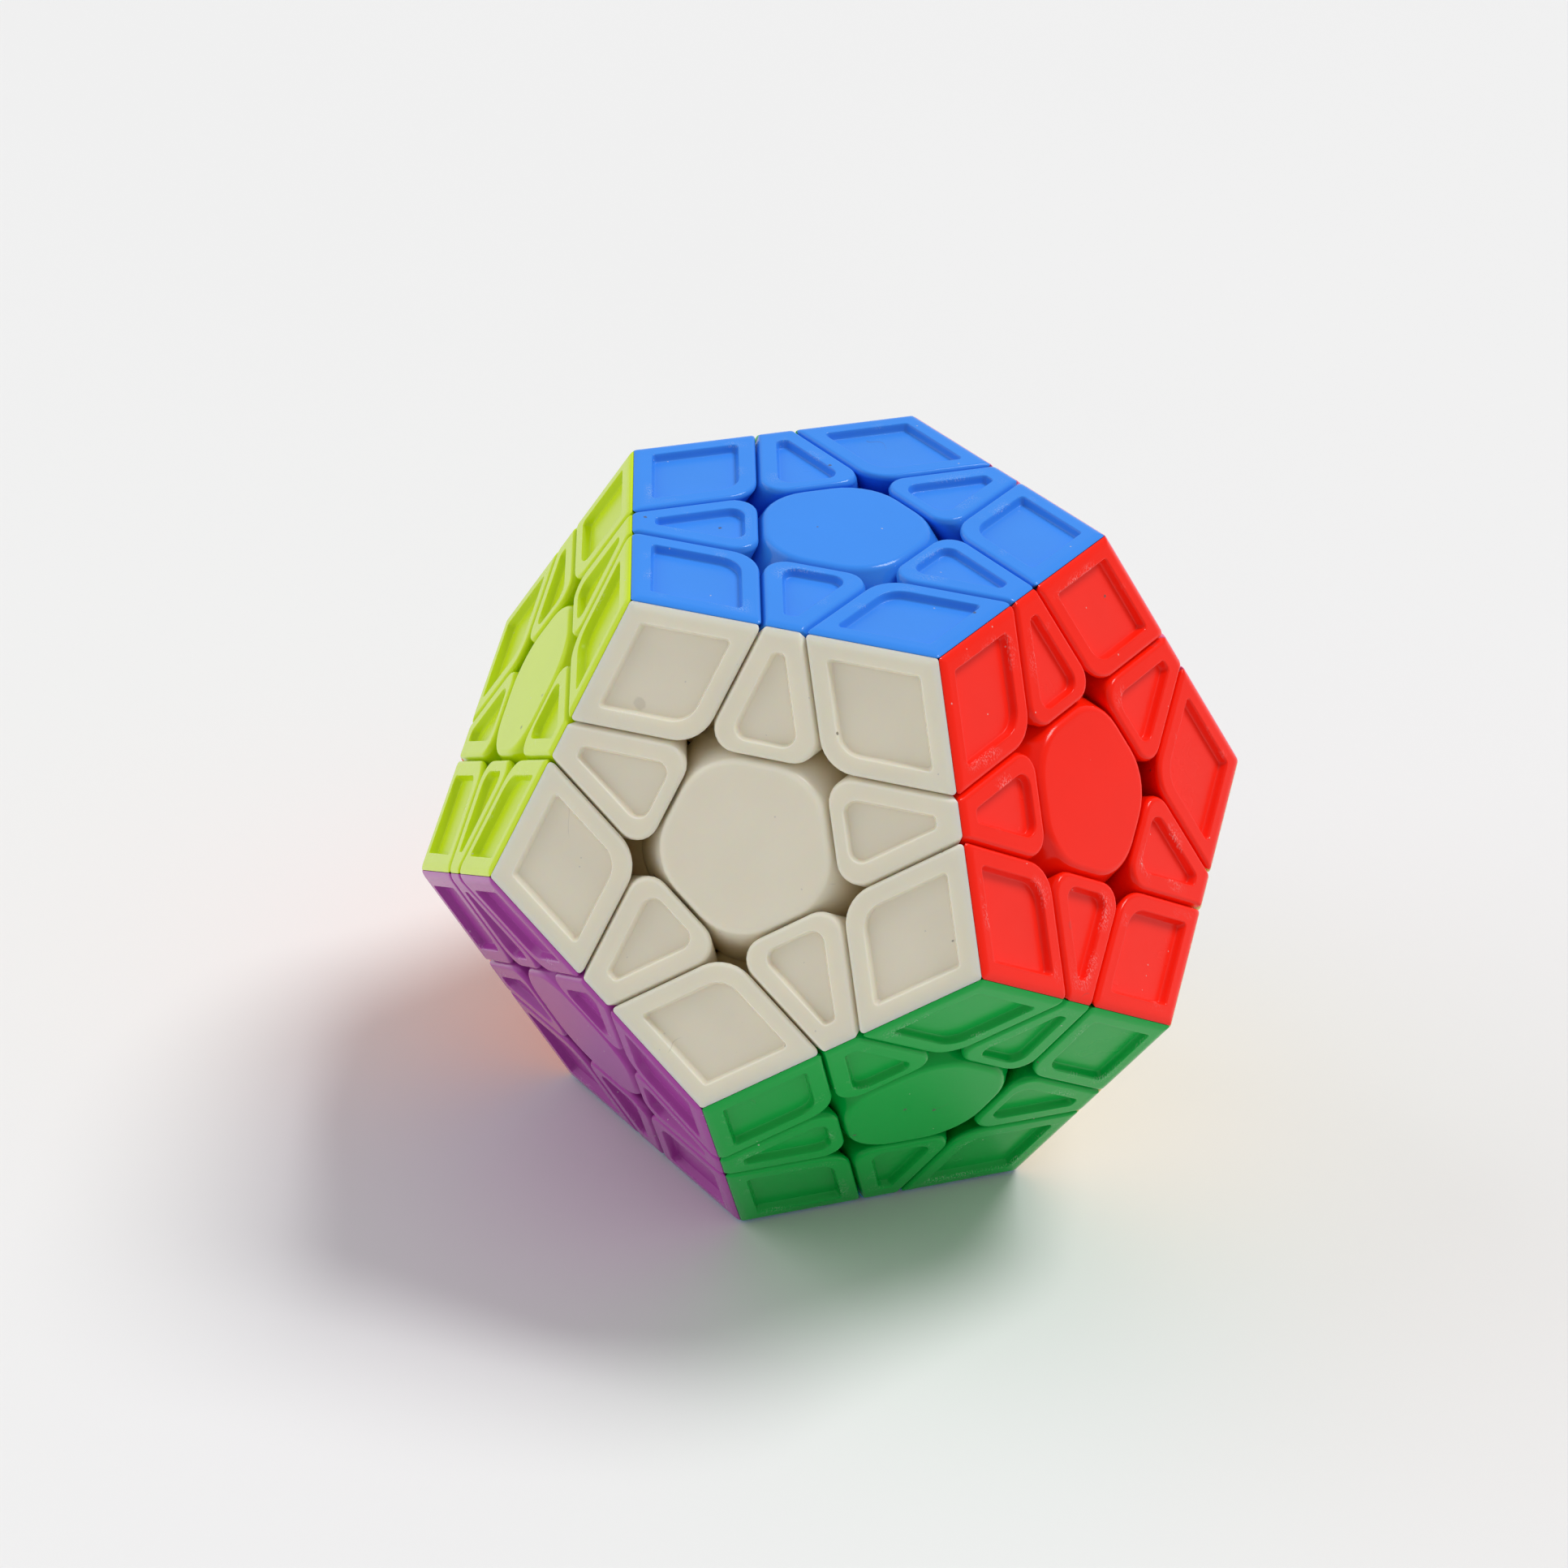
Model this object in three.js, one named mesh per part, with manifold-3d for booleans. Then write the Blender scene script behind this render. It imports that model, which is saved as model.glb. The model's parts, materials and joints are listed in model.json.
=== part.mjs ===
// A twelve-faced turning puzzle of 62 outer pieces on a ball core, in millimetres, +Z up.
// Each face turns about the axis through its middle, so each layer is bounded by one surface
// of revolution about that axis: a flat cut outside, a step on a sphere, and a cone inside.
// A piece is what the layers it belongs to have in common, less the layers beside it.
import * as THREE from "three";
import { mergeVertices } from "three/addons/utils/BufferGeometryUtils.js";
import Module from "manifold-3d";

const wasm = await Module();
wasm.setup();

// Driving dimensions, mm
const EDGE = 30; // edge of the dodecahedron
const SIDE_WIDTH = 3.3; // width of an edge piece where its two colours meet
const GAP = 0.3; // clearance between neighbouring pieces
const FOOT_REACH = 2.25; // how far the feet stand out past the inner tips of the corner blocks
const FOOT_LEAN = 13.5; // half angle of a centre's foot, in degrees
const CORNER_ROUND = 4; // rounding of a corner piece's inner corners
const SIDE_ROUND = 2.2; // rounding of an edge piece's inner corners
const CENTRE_ROUND = 5; // rounding of a centre's corners
const PANEL_DEPTH = 0.6; // sunk panel of a corner or an edge piece
const CORNER_RIM = 2.2; // rim around a corner piece's panel
const SIDE_RIM = 1.9; // rim around an edge piece's panel
const CAP_THICKNESS = 1.9; // a centre's outer wall
const CAVITY_FLOOR = 3.2; // a centre's floor under its spring
const CAVITY_WALL = 0.97; // a centre's foot around its cavity, at the cavity's floor
const SCREW_RADIUS = 1.4;
const SCREW_CLEARANCE = 0.4; // around a screw's shank, and around its head
const HEAD_RADIUS = 2.9;
const HEAD_HEIGHT = 1.8;
const SPRING_ROOM = 4.6; // from the cavity's floor to the screw's head
const SCREW_BITE = 6; // length of a screw inside the core
const PIN_RADIUS = 0.6; // of the pins that join two pieces which don't move apart
const PIN_LENGTH = 4;
const SEGMENTS = 20; // flats of a turned surface, a multiple of five
const ROUND_FLAT = Math.PI / 4.5; // most that one flat of a rounded corner turns through
const TOLERANCE = 5e-4; // faces that are this flat are one face

// Angles of the dodecahedron
const NEIGHBOUR_ANGLE = Math.atan(2); // between the axes of two neighbouring faces
const CORNER_ANGLE = Math.acos(Math.sqrt((5 + 2 * Math.sqrt(5)) / 15)); // face axis to vertex
const FIFTH = (2 * Math.PI) / 5;

// Sizes that follow
const CORNER_SIDE = (EDGE - SIDE_WIDTH) / 2; // side of a corner piece's rhombus on a face
const FACE_APOTHEM = EDGE / (2 * Math.tan(FIFTH / 2));
const FACE_DISTANCE = FACE_APOTHEM / Math.tan(NEIGHBOUR_ANGLE / 2); // centre of the puzzle to a face
const VERTEX_RADIUS = FACE_DISTANCE / Math.cos(CORNER_ANGLE);
const CUT_INSET = CORNER_SIDE * Math.sin(FIFTH); // from a face's side to its cut line
const CUT_DISTANCE = FACE_DISTANCE - CUT_INSET * Math.sin(NEIGHBOUR_ANGLE);
const FOOT_RADIUS = CUT_DISTANCE / Math.cos(CORNER_ANGLE) + FOOT_REACH;
const BORE_RADIUS = SCREW_RADIUS + SCREW_CLEARANCE;
const CAVITY_RADIUS = HEAD_RADIUS + SCREW_CLEARANCE;
const LEAN = THREE.MathUtils.degToRad(FOOT_LEAN);
const FOOT_ANGLE = NEIGHBOUR_ANGLE - LEAN; // from a face's axis to the gap around its layer's feet
const FLOOR_HEIGHT = (CAVITY_RADIUS + CAVITY_WALL + GAP / 2) / Math.tan(LEAN);
const HEAD_FROM = FLOOR_HEIGHT + SPRING_ROOM;
const FOOT_END = FLOOR_HEIGHT - CAVITY_FLOOR; // the feet's flat inner ends
const CORE_RADIUS = FOOT_END - GAP;
const FAR = 2 * VERTEX_RADIUS; // beyond every piece

// The faces: name, colour, and the direction they look in
const TILT = Math.PI / 2 - NEIGHBOUR_ANGLE;
const RING = [-90, -18, 54, 126, 198];
const looking = (azimuth, elevation) =>
  new THREE.Vector3(
    Math.cos(elevation) * Math.cos(azimuth),
    Math.cos(elevation) * Math.sin(azimuth),
    Math.sin(elevation),
  );
const ring = (names, turn, elevation) =>
  names.map(([name, colour], i) => ({
    name,
    colour,
    axis: looking(THREE.MathUtils.degToRad(RING[i] + turn), elevation),
  }));
const FACES = [
  { name: "blue", colour: 0x1c5fd0, axis: new THREE.Vector3(0, 0, 1) },
  ...ring(
    [
      ["white", 0xe4e1da],
      ["red", 0xd8232a],
      ["pink", 0xf08fb0],
      ["mint", 0x7fd6a0],
      ["lime", 0xc6dc2c],
    ],
    0,
    TILT,
  ),
  ...ring(
    [
      ["green", 0x1c8f4a],
      ["cream", 0xe9dfae],
      ["grey", 0x8c8f94],
      ["orange", 0xf07a1e],
      ["purple", 0x6a3aa8],
    ],
    36,
    -TILT,
  ),
  { name: "sky", colour: 0x6cc3ea, axis: new THREE.Vector3(0, 0, -1) },
];
const CORE_COLOUR = 0x26282b;
const BOTTOM = FACES.at(-1);
const JOINED_TO_BOTTOM_EDGE = ["grey", "orange"];

const touching = (a, b) => Math.abs(a.axis.angleTo(b.axis) - NEIGHBOUR_ANGLE) < 1e-6;
const neighbours = (face) => FACES.filter((other) => touching(face, other));

// A closed geometry, moved by a matrix, as a solid that can be cut and joined.
function solid(geometry, matrix = new THREE.Matrix4()) {
  const bare = new THREE.BufferGeometry();
  bare.setAttribute("position", geometry.getAttribute("position"));
  bare.setIndex(geometry.index);
  const merged = mergeVertices(bare.applyMatrix4(matrix), 1e-4);
  const mesh = new wasm.Mesh({
    numProp: 3,
    vertProperties: merged.attributes.position.array,
    triVerts: new Uint32Array(merged.index.array),
  });
  return new wasm.Manifold(mesh).simplify(TOLERANCE);
}

// A solid's surface as a geometry.
function geometryOf(made) {
  const mesh = made.asOriginal().simplify(TOLERANCE).getMesh();
  return new THREE.BufferGeometry()
    .setAttribute("position", new THREE.BufferAttribute(mesh.vertProperties, 3))
    .setIndex(new THREE.BufferAttribute(mesh.triVerts, 1));
}

// Turns local Z to an axis, and local X as near as it can be to a second direction.
function aimed(axis, beside, place = new THREE.Vector3()) {
  const y = axis.clone().cross(beside).normalize();
  return new THREE.Matrix4().makeBasis(y.clone().cross(axis), y, axis).setPosition(place);
}

const ALONG_Z = new THREE.Matrix4().makeRotationX(Math.PI / 2); // turned shapes stand along Y

// A shape turned about an axis through the middle, from a profile of [radius, height] points.
function turned(profile, sides, axis, beside) {
  const points = profile.map(([radius, height]) => new THREE.Vector2(radius, height));
  return solid(new THREE.LatheGeometry(points, sides), aimed(axis, beside).multiply(ALONG_Z));
}

// A round bar along an axis, from one height to another.
const bar = (radius, low, high, sides, axis, beside) =>
  turned([[0, low], [radius, low], [radius, high], [0, high]], sides, axis, beside);

// The layer of a face, drawn in by the inset; a negative inset makes it larger all round.
function layer(face, inset) {
  const cut = CUT_DISTANCE + inset;
  const sphere = FOOT_RADIUS - inset;
  const along = Math.sqrt(sphere ** 2 - inset ** 2);
  const [sine, cosine] = [Math.sin(FOOT_ANGLE), Math.cos(FOOT_ANGLE)];
  const profile = [
    [0, inset / sine],
    [along * sine - inset * cosine, along * cosine + inset * sine],
    [Math.sqrt(sphere ** 2 - cut ** 2), cut],
    [FAR, cut],
    [FAR, FAR],
    [0, FAR],
  ];
  return turned(profile, SEGMENTS, face.axis, neighbours(face)[0].axis);
}

const INSIDE = new Map(FACES.map((face) => [face, layer(face, GAP / 2)]));
const OUTSIDE = new Map(FACES.map((face) => [face, layer(face, -GAP / 2)]));

// The dodecahedron, with a face on top and a side of it towards the front.
function dodecahedron() {
  const golden = (1 + Math.sqrt(5)) / 2;
  const own = aimed(
    new THREE.Vector3(0, golden, 1).normalize(),
    new THREE.Vector3(0, golden, -1).normalize(),
  );
  const wanted = aimed(FACES[0].axis, FACES[1].axis);
  return solid(new THREE.DodecahedronGeometry(VERTEX_RADIUS), wanted.multiply(own.invert()));
}

const BLANK = dodecahedron();

// What rounds the edge where two flat walls of a piece meet, from a face in to a sphere.
// A wall is its outward direction and its distance from the middle.
function rounding(face, wallA, wallB, radius, sphere) {
  const [u, m] = [wallA.out, wallB.out];
  const cosine = u.dot(m);
  const along = u.clone().cross(m).normalize();
  const first = (wallA.at - cosine * wallB.at) / (1 - cosine ** 2);
  const second = (wallB.at - cosine * wallA.at) / (1 - cosine ** 2);
  const root = u.clone().multiplyScalar(first).addScaledVector(m, second);
  if (along.dot(face.axis) < 0) return rounding(face, wallB, wallA, radius, sphere);
  const from = Math.sqrt(sphere ** 2 - root.lengthSq());
  const to = (FACE_DISTANCE + GAP - root.dot(face.axis)) / along.dot(face.axis);
  const middle = -radius / (1 + cosine);
  const turn = Math.acos(cosine);
  const shape = new THREE.Shape();
  const centre = [middle * (1 + cosine), middle * Math.sin(turn)];
  shape.absarc(...centre, radius, 0, turn, false);
  const beyond = 1 / (1 + cosine);
  const past = radius + 1;
  shape.lineTo(centre[0] + past * Math.cos(turn), centre[1] + past * Math.sin(turn));
  shape.lineTo(beyond * (1 + cosine), beyond * Math.sin(turn));
  shape.lineTo(centre[0] + past, centre[1]);
  const prism = new THREE.ExtrudeGeometry(shape, {
    depth: to - from,
    bevelEnabled: false,
    curveSegments: Math.ceil(turn / ROUND_FLAT),
  });
  return solid(prism, aimed(along, u, root.addScaledVector(along, from)));
}

const ABOVE_FEET = FOOT_RADIUS + GAP;
const AMONG_FEET = FOOT_RADIUS - GAP;

const wallInside = (face) => ({
  out: face.axis.clone().negate(),
  at: -(CUT_DISTANCE + GAP / 2),
});
const wallBeside = (face) => ({ out: face.axis.clone(), at: CUT_DISTANCE - GAP / 2 });

// The sunk panel of a piece on a face. Its sides are lines across the face, each given as the
// neighbour it is parallel to and its distance from the middle of the face, in order round it.
function panel(face, sides) {
  const across = sides[0][0].axis;
  const place = aimed(face.axis, across, face.axis.clone().multiplyScalar(FACE_DISTANCE));
  const flat = place.clone().invert();
  const lines = sides.map(([side, distance]) => {
    const out = side.axis.clone().transformDirection(flat).setZ(0).normalize();
    return { out, distance };
  });
  const points = lines.map((a, i) => {
    const b = lines[(i + 1) % lines.length];
    const area = a.out.x * b.out.y - a.out.y * b.out.x;
    return new THREE.Vector2(
      (a.distance * b.out.y - b.distance * a.out.y) / area,
      (b.distance * a.out.x - a.distance * b.out.x) / area,
    );
  });
  const prism = new THREE.ExtrudeGeometry(new THREE.Shape(points), {
    depth: 2 * PANEL_DEPTH,
    bevelEnabled: false,
  });
  return solid(prism.translate(0, 0, -PANEL_DEPTH), place);
}

const FACE_CUT = FACE_APOTHEM - CUT_INSET; // middle of a face to its cut lines
const INNER = FACE_CUT + GAP / 2;
const BESIDE = FACE_CUT - GAP / 2;

// What a group of faces has in common, cut off flat where the feet end.
function common(faces) {
  const axis = new THREE.Vector3();
  faces.forEach((face) => axis.add(face.axis));
  axis.normalize();
  const side = neighbours(faces[0])[0].axis;
  const hollow = bar(FAR, -FAR, FOOT_END, 8, axis, side);
  return faces.reduce((made, face) => made.intersect(INSIDE.get(face)), BLANK).subtract(hollow);
}

const subtractAll = (made, tools) => tools.reduce((left, tool) => left.subtract(tool), made);

function corner(a, b, c) {
  const tools = [[a, b, c], [b, c, a], [c, a, b]].flatMap(([face, left, right]) => [
    rounding(face, wallInside(left), wallInside(right), CORNER_ROUND, ABOVE_FEET),
    panel(face, [
      [left, INNER + CORNER_RIM],
      [right, INNER + CORNER_RIM],
      [left, FACE_APOTHEM - CORNER_RIM],
      [right, FACE_APOTHEM - CORNER_RIM],
    ]),
  ]);
  return subtractAll(common([a, b, c]), tools);
}

function edge(a, b) {
  const ends = FACES.filter((face) => touching(face, a) && touching(face, b));
  const tools = [[a, b], [b, a]].flatMap(([face, over]) => [
    ...ends.map((end) =>
      rounding(face, wallInside(over), wallBeside(end), SIDE_ROUND, AMONG_FEET),
    ),
    panel(face, [
      [over, INNER + SIDE_RIM],
      [ends[0], BESIDE - SIDE_RIM],
      [ends[1], BESIDE - SIDE_RIM],
    ]),
  ]);
  return subtractAll(common([a, b]), [...ends.map((end) => OUTSIDE.get(end)), ...tools]);
}

function centre(a) {
  const around = neighbours(a);
  const walls = around.flatMap((b, i) =>
    around.slice(i + 1).filter((c) => touching(b, c)).map((c) => [wallBeside(b), wallBeside(c)]),
  );
  const tools = [
    ...around.map((b) => OUTSIDE.get(b)),
    ...walls.map(([one, other]) => rounding(a, one, other, CENTRE_ROUND, AMONG_FEET)),
    bar(BORE_RADIUS, 0, FLOOR_HEIGHT + 1, 8, a.axis, around[0].axis),
    bar(CAVITY_RADIUS, FLOOR_HEIGHT, FACE_DISTANCE - CAP_THICKNESS, 10, a.axis, around[0].axis),
  ];
  return subtractAll(common([a]), tools);
}

// The core, with the screws that hold the centres.
function core() {
  const ball = solid(new THREE.IcosahedronGeometry(CORE_RADIUS, 2));
  return FACES.reduce((made, face) => {
    const side = neighbours(face)[0].axis;
    const shank = bar(SCREW_RADIUS, CORE_RADIUS - SCREW_BITE, HEAD_FROM + 0.1, 6, face.axis, side);
    const head = bar(HEAD_RADIUS, HEAD_FROM, HEAD_FROM + HEAD_HEIGHT, 10, face.axis, side);
    return made.add(shank).add(head);
  }, ball);
}

// The turn that carries a piece from two neighbouring faces to two others.
function carried(from, to) {
  const start = aimed(from[0].axis, from[1].axis);
  const end = aimed(to[0].axis, to[1].axis);
  return new THREE.Quaternion().setFromRotationMatrix(end.multiply(start.invert()));
}

const [TOP, FRONT, SIDE] = FACES;
const CENTRE_SOLID = centre(TOP);
const EDGE_SOLID = edge(TOP, FRONT);
const CORNER_SOLID = corner(TOP, FRONT, SIDE);

const carry = (made, to) =>
  solid(
    geometryOf(made),
    new THREE.Matrix4().makeRotationFromQuaternion(carried([TOP, FRONT], to)),
  );

// A pin across the gap between two pieces that stay together.
function pin(place, axis, beside) {
  const round = new THREE.CylinderGeometry(PIN_RADIUS, PIN_RADIUS, PIN_LENGTH, 8);
  return solid(round, aimed(axis, beside, place).multiply(ALONG_Z));
}

// The bottom centre stands still, so it is one piece with the core, pinned beside its screw.
function coreWithBottomCentre() {
  const side = neighbours(BOTTOM)[0];
  const across = side.axis.clone().projectOnPlane(BOTTOM.axis).normalize();
  const wall = FOOT_END * Math.tan(LEAN) - GAP; // inside of its foot
  const place = BOTTOM.axis.clone().multiplyScalar(FOOT_END);
  place.addScaledVector(across, (BORE_RADIUS + wall) / 2);
  return core()
    .add(carry(CENTRE_SOLID, [BOTTOM, side]))
    .add(pin(place, BOTTOM.axis, across));
}

// A centre and the edge piece below it as one piece, pinned between their feet.
function centreWithBottomEdge(face) {
  const down = BOTTOM.axis.clone().projectOnPlane(face.axis).normalize();
  const place = face.axis.clone().multiplyScalar(Math.cos(LEAN));
  place.addScaledVector(down, Math.sin(LEAN)).multiplyScalar((2 * FOOT_END + FOOT_RADIUS) / 3);
  return carry(CENTRE_SOLID, [face, BOTTOM])
    .add(carry(EDGE_SOLID, [face, BOTTOM]))
    .add(pin(place, down, face.axis));
}

const puzzle = new THREE.Group();
puzzle.name = "dodecahedron_puzzle";

function addPiece(name, geometry, colour, turn = new THREE.Quaternion()) {
  const material = new THREE.MeshStandardMaterial({ color: colour, roughness: 0.35 });
  const mesh = new THREE.Mesh(geometry, material);
  mesh.name = name;
  mesh.quaternion.copy(turn);
  puzzle.add(mesh);
}

addPiece("core_with_centre_sky", geometryOf(coreWithBottomCentre()), CORE_COLOUR);

const CENTRE_GEOMETRY = geometryOf(CENTRE_SOLID);
for (const a of FACES.slice(0, -1)) {
  if (JOINED_TO_BOTTOM_EDGE.includes(a.name)) {
    const joined = geometryOf(centreWithBottomEdge(a));
    addPiece(`centre_${a.name}_with_edge_${BOTTOM.name}`, joined, a.colour);
  } else {
    const turn = carried([TOP, FRONT], [a, neighbours(a)[0]]);
    addPiece(`centre_${a.name}`, CENTRE_GEOMETRY, a.colour, turn);
  }
}

const EDGE_GEOMETRY = geometryOf(EDGE_SOLID);
const CORNER_GEOMETRY = geometryOf(CORNER_SOLID);
FACES.forEach((a, i) => {
  const later = FACES.slice(i + 1).filter((face) => touching(a, face));
  later.forEach((b, j) => {
    if (b !== BOTTOM || !JOINED_TO_BOTTOM_EDGE.includes(a.name)) {
      const turn = carried([TOP, FRONT], [a, b]);
      addPiece(`edge_${a.name}_${b.name}`, EDGE_GEOMETRY, a.colour, turn);
    }
    for (const c of later.slice(j + 1).filter((face) => touching(b, face))) {
      const inOrder = a.axis.dot(b.axis.clone().cross(c.axis)) > 0;
      const turn = carried([TOP, FRONT], inOrder ? [a, b] : [a, c]);
      addPiece(`corner_${a.name}_${b.name}_${c.name}`, CORNER_GEOMETRY, a.colour, turn);
    }
  });
});

export default puzzle;
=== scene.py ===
"""Looks of a twelve-faced turning puzzle: coloured shells on feet, centre caps, a ball core and its springs.

The file is laid out as an add-on. Sizes and colours are properties, each group of like pieces has an
operator, and a panel in the sidebar lists them. Run as a script, it makes the whole scene.
"""

import json
import math

import bpy
import numpy as np
from bpy.props import FloatProperty, FloatVectorProperty, PointerProperty
from mathutils import Matrix, Vector


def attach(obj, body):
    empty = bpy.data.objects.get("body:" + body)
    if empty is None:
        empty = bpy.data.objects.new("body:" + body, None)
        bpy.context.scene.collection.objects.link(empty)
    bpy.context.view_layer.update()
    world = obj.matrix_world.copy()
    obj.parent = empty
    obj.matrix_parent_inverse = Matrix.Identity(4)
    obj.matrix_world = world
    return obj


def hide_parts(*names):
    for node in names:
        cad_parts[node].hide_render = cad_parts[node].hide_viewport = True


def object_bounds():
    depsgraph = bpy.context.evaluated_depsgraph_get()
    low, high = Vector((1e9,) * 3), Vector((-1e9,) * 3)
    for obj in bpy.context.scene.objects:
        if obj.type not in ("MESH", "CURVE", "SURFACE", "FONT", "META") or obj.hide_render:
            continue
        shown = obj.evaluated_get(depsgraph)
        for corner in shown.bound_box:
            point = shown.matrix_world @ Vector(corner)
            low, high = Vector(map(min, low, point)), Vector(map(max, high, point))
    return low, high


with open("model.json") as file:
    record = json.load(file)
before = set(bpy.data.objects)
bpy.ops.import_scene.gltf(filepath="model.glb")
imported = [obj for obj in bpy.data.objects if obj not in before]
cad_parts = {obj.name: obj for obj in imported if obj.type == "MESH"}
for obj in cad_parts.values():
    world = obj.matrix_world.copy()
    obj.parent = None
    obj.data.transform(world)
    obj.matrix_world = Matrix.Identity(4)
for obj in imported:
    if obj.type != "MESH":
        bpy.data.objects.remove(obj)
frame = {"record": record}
CAD_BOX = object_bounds()

bl_info = {
    "name": "Twelve-faced turning puzzle",
    "version": (1, 0, 0),
    "blender": (4, 5, 0),
    "location": "3D View > Sidebar > Puzzle",
    "description": "Makes the shells, feet, caps, core, screws and springs of a twelve-faced puzzle",
    "category": "Object",
}

MM = 0.001
MICROMETRE = 1e-6
TAU = 2 * math.pi
RECORD = frame["record"]
BODY_OF = {node: body for body, nodes in RECORD["behaviour"]["bodies"].items() for node in nodes}

# ---------------------------------------------------------------- the dodecahedron

IN_RADIUS = (CAD_BOX[1].z - CAD_BOX[0].z) / 2 / MM  # middle of the puzzle to a face, mm
NEIGHBOUR = math.atan(2)  # angle between the axes of two neighbouring faces
EDGE_TILT = NEIGHBOUR / 2  # face axis to the middle of an edge
CORNER_TILT = math.acos(math.sqrt((5 + 2 * math.sqrt(5)) / 15))  # face axis to a vertex
END_TILT = math.acos(math.cos(NEIGHBOUR) / math.cos(EDGE_TILT))  # edge axis to the faces at its ends
APOTHEM = IN_RADIUS * math.tan(EDGE_TILT)
EDGE = 2 * APOTHEM * math.tan(math.pi / 5)
CUT_LEAN = 1 / math.tan(NEIGHBOUR)  # how far a cut moves out for each unit of depth
MITRE_LEAN = -math.tan(EDGE_TILT)  # how far the wall between two colours moves out, so it moves in
PALE = 0.28  # a plastic whose darkest channel is above this lets some light through
# painted shade: between these depths the plastic's colour is painted darker and richer in the gaps
GAP_SHADE_FROM, GAP_SHADE_TO = 1.0, 6.0  # depths between which the plastic's colour grows richer, mm
SHARP = math.radians(50)  # edges between flat sides at more than this angle stay crisp
SUPPORT = 0.06  # a ring this close beside an edge keeps the flat next to it flat, mm
PANEL_SUPPORT = 0.08  # the same around a sunk panel, mm
FLAT_RINGS = (0.35, 0.7)  # rings that fill a flat top, as shares of the way out from its middle
WORN_RINGS = 5  # rings at the top of a panel's slope that are scuffed
POLE_DRAW = 0.93  # an underside's pole lies a little nearer the face's axis than its piece's middle
NECK_RISE = 0.7  # a foot's neck above the tops of the feet, mm
CENTRE_NECK, EDGE_NECK, CORNER_NECK = 0.93, 0.55, 0.4  # a neck's width as a share of its foot's
FOOT_SOFTNESS = 70  # the larger, the tighter a foot's corners are rounded, per radian
FREE = 1.2  # a foot's reach where no cone bounds it, radians
FLOOR_HALF = 30.0  # half the floor's side, metres


def side_inset(sizes):
    """How far a cut lies in from the edge that it runs along, on a face, mm."""
    return (EDGE - sizes.side_width / MM) / 2 * math.sin(TAU / 5)


def looking(azimuth, elevation):
    """The unit vector at an azimuth and an elevation, in degrees."""
    a, e = math.radians(azimuth), math.radians(elevation)
    return Vector((math.cos(e) * math.cos(a), math.cos(e) * math.sin(a), math.sin(e)))


RING_TILT = 90 - math.degrees(NEIGHBOUR)
UPPER = {"white": -90, "red": -18, "pink": 54, "mint": 126, "lime": 198}
LOWER = {"green": -54, "cream": 18, "grey": 90, "orange": 162, "purple": 234}
FACES = {
    "blue": looking(0, 90),
    **{name: looking(azimuth, RING_TILT) for name, azimuth in UPPER.items()},
    **{name: looking(azimuth, -RING_TILT) for name, azimuth in LOWER.items()},
    "sky": looking(0, -90),
}
NAMES = list(FACES)
AXES = np.array([tuple(axis) for axis in FACES.values()])


def touching(a, b):
    """Whether two faces share an edge."""
    return abs(FACES[a].angle(FACES[b], 0) - NEIGHBOUR) < 1e-4


EDGES = [(a, b) for i, a in enumerate(NAMES) for b in NAMES[i + 1 :] if touching(a, b)]
CORNERS = [
    (a, b, c) for a, b in EDGES for c in NAMES[NAMES.index(b) + 1 :] if touching(a, c) and touching(b, c)
]


def neighbour(name):
    """The axis of the first face that shares an edge with this one."""
    return next(FACES[other] for other in NAMES if touching(name, other))


def kind_of(names):
    """What a piece with this many colours is called."""
    return {1: "centre", 2: "edge", 3: "corner"}[len(names)]


def node_of(names):
    """The CAD node that holds the piece with these colours, which may be joined with another piece."""
    own = f"{kind_of(names)}_{'_'.join(names)}"
    if own in BODY_OF:
        return own
    if len(names) == 1:
        return next(node for node in BODY_OF if own in node)
    return f"centre_{names[0]}_with_edge_{names[1]}"


def basis(axis, beside):
    """The turn that takes Z to an axis and X as near as it can be to a second direction."""
    x = (beside - axis * beside.dot(axis)).normalized()
    return Matrix((x, axis.cross(x), axis)).transposed()


# ---------------------------------------------------------------- properties


def length(name, description, millimetres):
    """A length property, with its default in millimetres."""
    return FloatProperty(
        name=name,
        description=description,
        default=millimetres * MM,
        min=0,
        subtype="DISTANCE",
        unit="LENGTH",
        precision=5,
    )


def share(name, description, default):
    """A property from 0 to 1."""
    return FloatProperty(
        name=name, description=description, default=default, min=0, max=1, subtype="FACTOR"
    )


def number(name, description, default):
    """A plain number property."""
    return FloatProperty(name=name, description=description, default=default)


def angle(name, description, degrees):
    """An angle property, with its default in degrees."""
    return FloatProperty(
        name=name,
        description=description,
        default=math.radians(degrees),
        subtype="ANGLE",
        unit="ROTATION",
    )


def colour(name, description, default):
    """A colour property, linear."""
    return FloatVectorProperty(
        name=name, description=description, default=default, size=3, min=0, max=1, subtype="COLOR"
    )


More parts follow.
